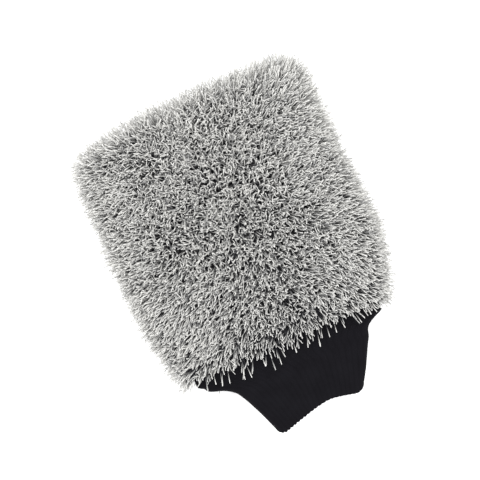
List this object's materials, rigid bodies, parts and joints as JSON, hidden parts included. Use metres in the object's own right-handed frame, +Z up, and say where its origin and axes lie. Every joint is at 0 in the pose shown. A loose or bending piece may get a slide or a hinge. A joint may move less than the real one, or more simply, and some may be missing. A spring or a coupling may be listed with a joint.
{
  "type": "wash mitt",
  "caption": "Double-sided plush microfibre mitt with an inner lining and a tapered rib-knit wrist cuff, for washing paintwork by hand.",
  "frame": {"origin": "middle of the underside of the mitt's own box, on the surface that it lies on", "axes": "+X across the mitt, +Y along it to the closed fingertip end, +Z up out of the front side"},
  "size_m": [0.2106, 0.278, 0.049],
  "materials": {
    "pile_yarn": "matte",
    "base_cloth": "matte",
    "lining_cloth": "matte",
    "rib_knit": "matte",
    "sewing_thread": "satin"
  },
  "bodies": {
    "root": {"front_pile": "pile_yarn", "rear_pile": "pile_yarn", "front_backing": "base_cloth", "rear_backing": "base_cloth", "front_lining": "lining_cloth", "rear_lining": "lining_cloth", "rib_cuff": "rib_knit", "perimeter_seam": "sewing_thread", "lining_seam": "sewing_thread", "cuff_seam": "sewing_thread", "cuff_side_seam": "sewing_thread", "lining_tacks": "sewing_thread"}
  },
  "joints": []
}
